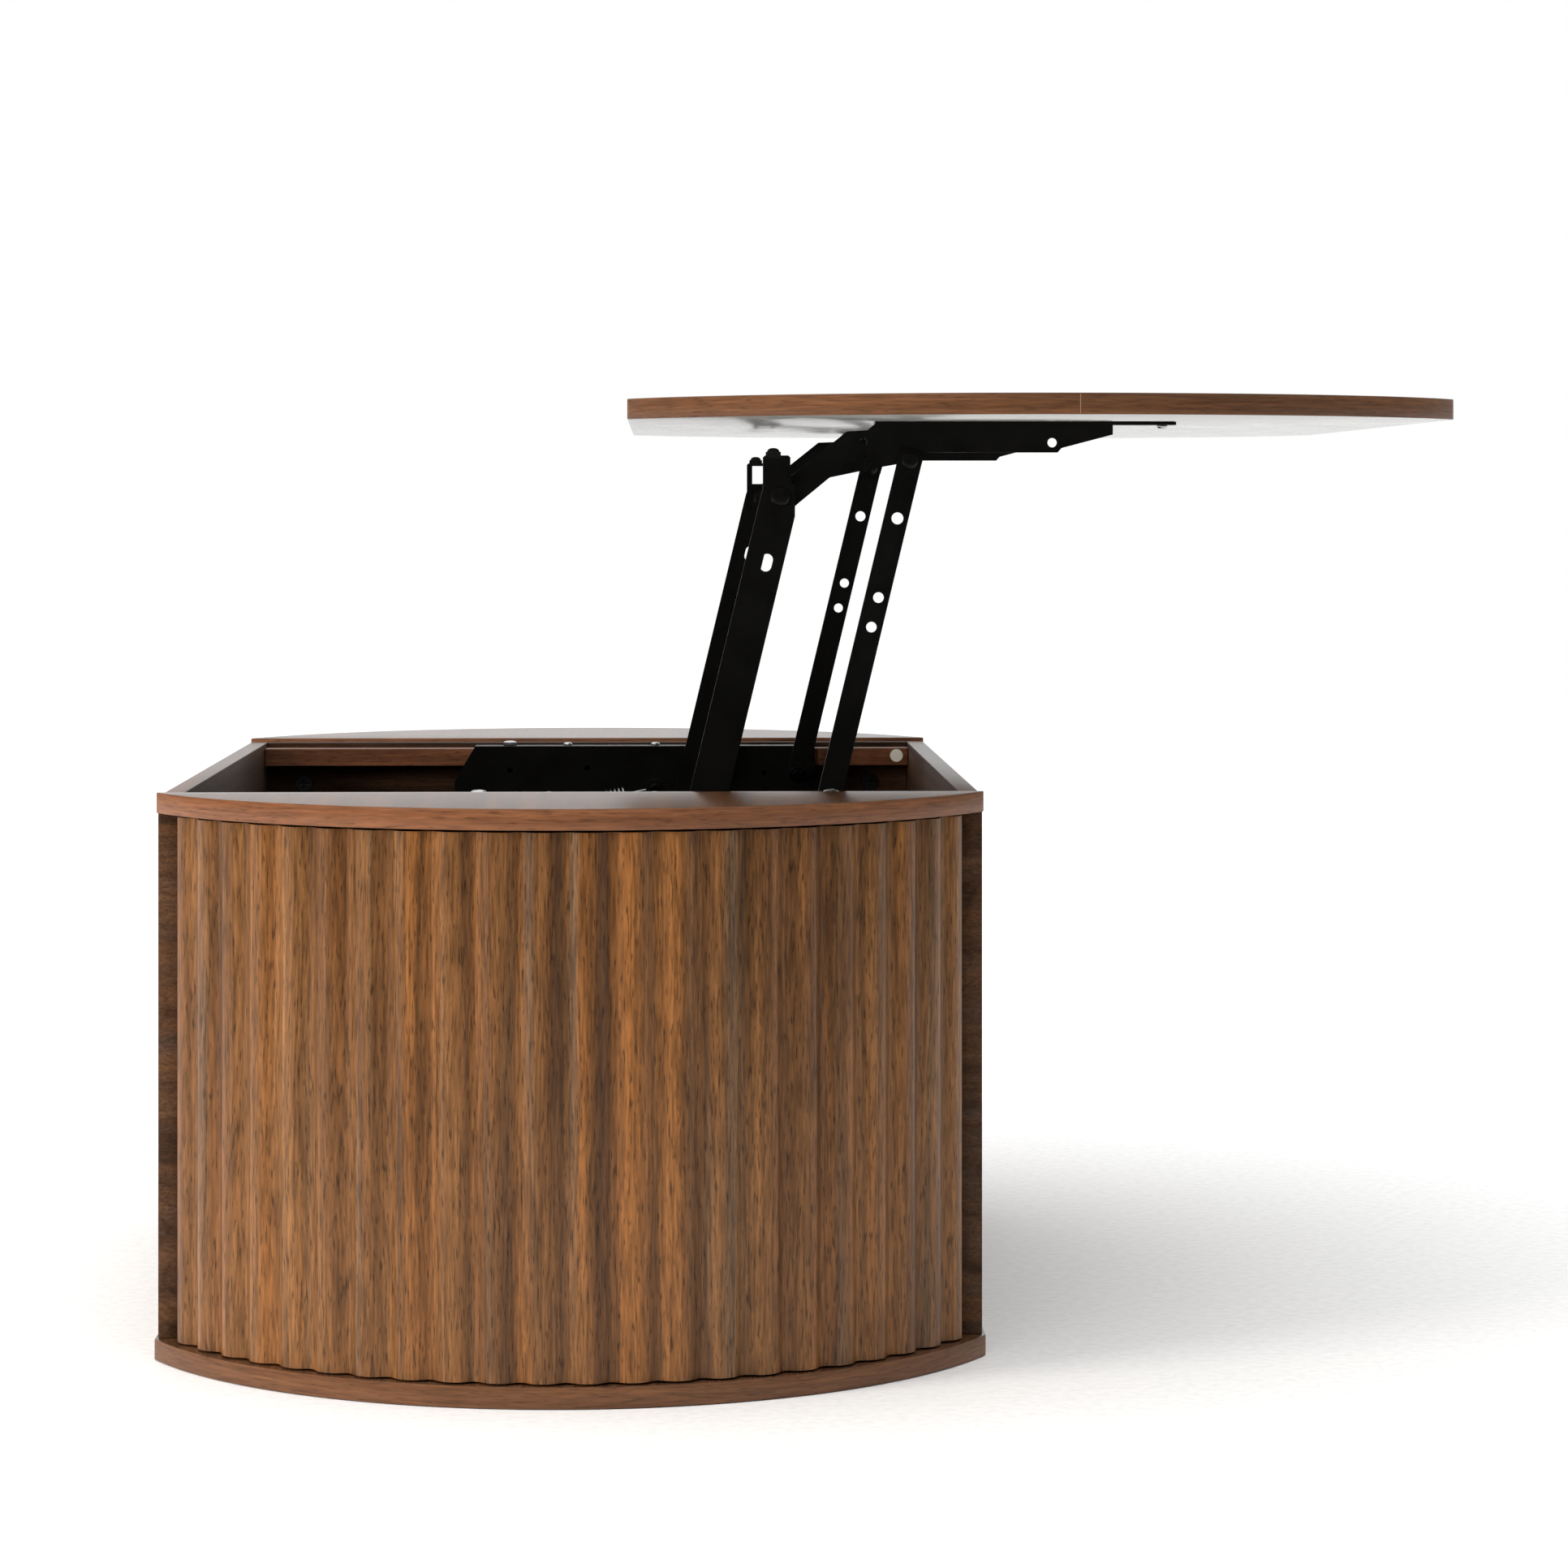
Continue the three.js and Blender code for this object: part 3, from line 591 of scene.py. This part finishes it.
for word, side in SIDES.items():
    for i in range(1, 5):
        pan_screw(f"base_screw_head_{i}_{word}", f"base_screw_{i}_{word}", "base",
                  BIG_HEAD if i in (1, 4) else SMALL_HEAD, False)
    for i in range(1, 4):
        pan_screw(f"lid_screw_head_{i}_{word}", f"lid_screw_{i}_{word}", "lid_assembly",
                  SMALL_HEAD, True)
    base_pin = [(0, 0), (3.4, 0), (4.2, 0.5), (4.4, 1.0), (6.6, 1.0), (7, 1.3), (7, 2.3),
                (6.8, 2.5), (4, 2.5), (4, 6.1), (5.8, 6.1), (6, 6.3), (6, 23.0), (5.8, 23.2),
                (4, 23.2), (4, 25.8), (6.3, 25.8), (6.4, 26.2), (5.6, 27.6), (3, 28.1), (0, 28.1)]
    for end in ("rear", "front"):
        turned(f"{end}_base_pivot_{word}", f"{end}_base_pin_{word}", "base", zinc_plate, base_pin,
               "Y", side < 0, first_finish=black_pin, first_mm=DARK_END)
    for end, r, body in (("rear", 7, "rear_arm_" + word), ("front", 6, "front_arm_" + word)):
        top_pin = [(0, 0), (r - 2, 0), (r - 0.5, 0.8), (r, 1.6), (r, 2.5), (4, 2.5), (4, 9.1),
                   (r, 9.1), (r, 10.0), (r - 0.6, 10.8), (r - 2, 11.4), (0, 11.4)]
        turned(f"{end}_top_pivot_{word}", f"{end}_top_pin_{word}", body, powder_coat, top_pin,
               "Y", side < 0)
    post = [(0, 0), (4, 0), (4, 1.4), (3, 2.0), (2.5, 2.4), (2.5, 11.4), (5, 11.6), (5, 13.4),
            (2.5, 13.6), (2.5, 15.9), (4.4, 15.9), (3.4, 17.6), (0, 17.6)]
    turned(f"spring_anchor_{word}", f"spring_post_{word}", "base", zinc_plate, post, "Y", side < 0)
    bolt = [(0, 0), (3.6, 0), (4.6, 0.6), (4.6, 3.3), (2.5, 3.3), (2.5, 6.9), (5, 6.9), (5, 10.5),
            (2.5, 10.7), (2.5, 15.2), (4, 16.0), (4, 20.0), (3.4, 20.4), (0, 20.4)]
    turned(f"tail_bolt_{word}", f"spring_tail_bolt_{word}", "rear_arm_" + word, black_pin, bolt,
           "Y", side < 0)

# %% [markdown]
# ## Springs
# A coil is a small circle spun round an axis while it is also moved along it. The coil stays with
# the base; the straight lead and its eye reach the bolt on the arm's tail, and are left with no
# body as parent.

# %% Extension springs
wire_r, coil_r, TURNS = 1.1 * MM, 6 * MM, 30
eye_r = 4 * MM                                       # the eye's radius, so the wire ends there
coil_from_post, coil_from_tail, overlap = 16 * MM, 26 * MM, 2 * MM


def wound(turns, pitch, radius, steps_a_turn=16):
    """One run of wire: a circle spun about the z axis while it climbs."""
    bm = bmesh.new()
    at = Matrix.Translation((radius, 0, 0)) @ Matrix.Rotation(math.pi / 2, 4, "X")
    bmesh.ops.create_circle(bm, cap_ends=True, segments=10, radius=wire_r, matrix=at)
    steps = max(4, round(steps_a_turn * abs(turns)))
    bmesh.ops.spin(bm, geom=whole(bm), cent=(0, 0, 0), axis=(0, 0, 1),
                   angle=2 * math.pi * turns, steps=steps, dvec=(0, 0, pitch * turns / steps))
    return bm


def lay_along(bm, start, finish):
    """Turn the z axis of a bmesh onto the line from start to finish, and move it to start."""
    aim = (finish - start).to_track_quat("Z", "Y").to_matrix()
    bmesh.ops.rotate(bm, verts=bm.verts, matrix=aim)
    bmesh.ops.translate(bm, vec=start, verts=bm.verts)


def rod(start, finish, radius):
    bm = bmesh.new()
    span = (finish - start).length
    bmesh.ops.create_cone(bm, cap_ends=True, segments=10, radius1=radius, radius2=radius,
                          depth=span, matrix=Matrix.Translation((0, 0, span / 2)))
    bmesh.ops.subdivide_edges(bm, cuts=9, use_grid_fill=True,
                              edges=[e for e in bm.edges if abs(e.verts[0].co.z - e.verts[1].co.z)
                                     > span * 0.9])
    lay_along(bm, start, finish)
    return bm


def eye(centre, radius):
    """The loop of wire round a pin that lies along Y."""
    bm = wound(0.8, 0, radius, 24)
    bmesh.ops.rotate(bm, verts=bm.verts, matrix=Matrix.Rotation(math.pi / 2, 3, "X"))
    bmesh.ops.translate(bm, vec=centre, verts=bm.verts)
    return bm


def joined(*parts):
    total = bmesh.new()
    for part in parts:
        mesh = bpy.data.meshes.new("part")
        part.to_mesh(mesh)
        part.free()
        total.from_mesh(mesh)
        bpy.data.meshes.remove(mesh)
    return total


for word, side in SIDES.items():
    post_low, post_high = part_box(f"spring_post_{word}")
    bolt_low, bolt_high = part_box(f"spring_tail_bolt_{word}")
    wire_low, wire_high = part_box(f"spring_{word}")
    wire_y = (wire_low.y + wire_high.y) / 2
    anchor, tail = (post_low + post_high) / 2, (bolt_low + bolt_high) / 2
    anchor.y = tail.y = wire_y
    along = (tail - anchor).normalized()
    coil_start, coil_end = anchor + along * coil_from_post, tail - along * coil_from_tail
    coil = wound(TURNS, (coil_end - coil_start).length / TURNS, coil_r)
    lay_along(coil, coil_start, coil_end)
    short_lead = rod(anchor + along * eye_r, coil_start + along * overlap, wire_r)
    settle(joined(coil, short_lead, eye(anchor, eye_r)), "spring_coil_" + word, "base",
           [spring_wire], ["spring_" + word])
    lead = joined(rod(coil_end - along * overlap, tail - along * eye_r, wire_r), eye(tail, eye_r))
    lead_piece = settle(lead, "spring_lead_" + word, "base", [spring_wire])
    lead_piece.parent = None
    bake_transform(lead_piece)

# %% [markdown]
# ## The label
# A small round paper label sits on the batten by the front corner. It is left blank.

# %% Round label on the right hand rail
label_x, label_z, label_r, label_thick = 0.272, 0.3955, 5.6 * MM, 0.15 * MM
rail_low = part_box("lid_rail_right")[0]
bm = bmesh.new()
bmesh.ops.create_circle(bm, cap_ends=True, segments=40, radius=label_r,
                        matrix=Matrix.Rotation(math.pi / 2, 4, "X"))
thick = bmesh.ops.extrude_face_region(bm, geom=bm.faces[:])["geom"]
bmesh.ops.translate(bm, vec=(0, -label_thick, 0),
                    verts=[g for g in thick if isinstance(g, bmesh.types.BMVert)])
bmesh.ops.translate(bm, vec=(label_x, rail_low.y, label_z), verts=bm.verts)
settle(bm, "round_label", "base", [label_paper])

# %% [markdown]
# ## Floor and light
# A white sweep in a studio is bright above and behind the object, while the side where the
# camera stands is dim. That is why black steel stays black and brown foil keeps its colour, even
# on a white floor. The sky below follows the same idea: bright overhead and behind, dim in front.
# The eye of the camera sees plain white past the floor, and one large soft box at the left makes
# the flutes show their shape. The box is hidden from reflections, since its mirror image on the
# satin lid would be a burnt out patch.

# %% Floor
bm = bmesh.new()
bmesh.ops.create_grid(bm, x_segments=2, y_segments=2, size=1)
bmesh.ops.scale(bm, vec=(7, 6, 1), verts=bm.verts)
bmesh.ops.translate(bm, vec=(0, 4.2, 0), verts=bm.verts)
floor_mesh = bpy.data.meshes.new("floor")
bm.to_mesh(floor_mesh)
bm.free()
floor = bpy.data.objects.new("floor", floor_mesh)
floor.location.z = -0.0005
floor_mesh.materials.append(
    skin_with_relief("painted_floor_pale", "#fdfdfd", 0.85, 0.0, 8, 0.0, 0.03, shine=0.05))
bpy.context.scene.collection.objects.link(floor)

# %% Light
ZENITH, BEHIND, IN_FRONT = 1.62, 1.0, 0.08
world = bpy.data.worlds.new("studio")
world.use_nodes = True
sky = world.node_tree
sky.nodes.clear()
ray = add(sky, "SeparateXYZ", {0: add(sky, "TexCoord").outputs["Generated"]})
low_sky = add(sky, "MapRange", {"Value": ray.outputs["Y"], "From Min": 0.5, "From Max": 0.95,
                                "To Min": IN_FRONT, "To Max": BEHIND})
overhead = add(sky, "MapRange", {"Value": ray.outputs["Z"], "From Min": 0.25, "From Max": 0.8})
lit = add(sky, "Mix", {0: overhead.outputs[0], 2: low_sky.outputs[0], 3: ZENITH})
seen = add(sky, "Mix", {0: add(sky, "LightPath").outputs["Is Camera Ray"], 2: lit.outputs[0],
                        3: 1.0})
backing = add(sky, "Background", {"Color": (1, 1, 1, 1), "Strength": seen.outputs[0]})
sky.links.new(backing.outputs[0], sky.nodes.new("ShaderNodeOutputWorld").inputs[0])
bpy.context.scene.world = world
bpy.context.scene.view_settings.view_transform = "Standard"


def soft_box(name, place, aim, width, height, watts):
    data = bpy.data.lights.new(name, "AREA")
    data.shape, data.size, data.size_y, data.energy = "RECTANGLE", width, height, watts
    data.color = (1.0, 0.93, 0.84)      # slightly warm
    lamp = bpy.data.objects.new(name, data)
    lamp.location = place
    lamp.visible_glossy = False
    lamp.rotation_euler = (Vector(aim) - Vector(place)).to_track_quat("-Z", "Y").to_euler()
    bpy.context.scene.collection.objects.link(lamp)


KEY_PLACE, KEY_AIM = (-2.8, -2.0, 0.95), (0, -0.4, 0.25)
soft_box("key_left", KEY_PLACE, KEY_AIM, width=1.0, height=1.7, watts=96)
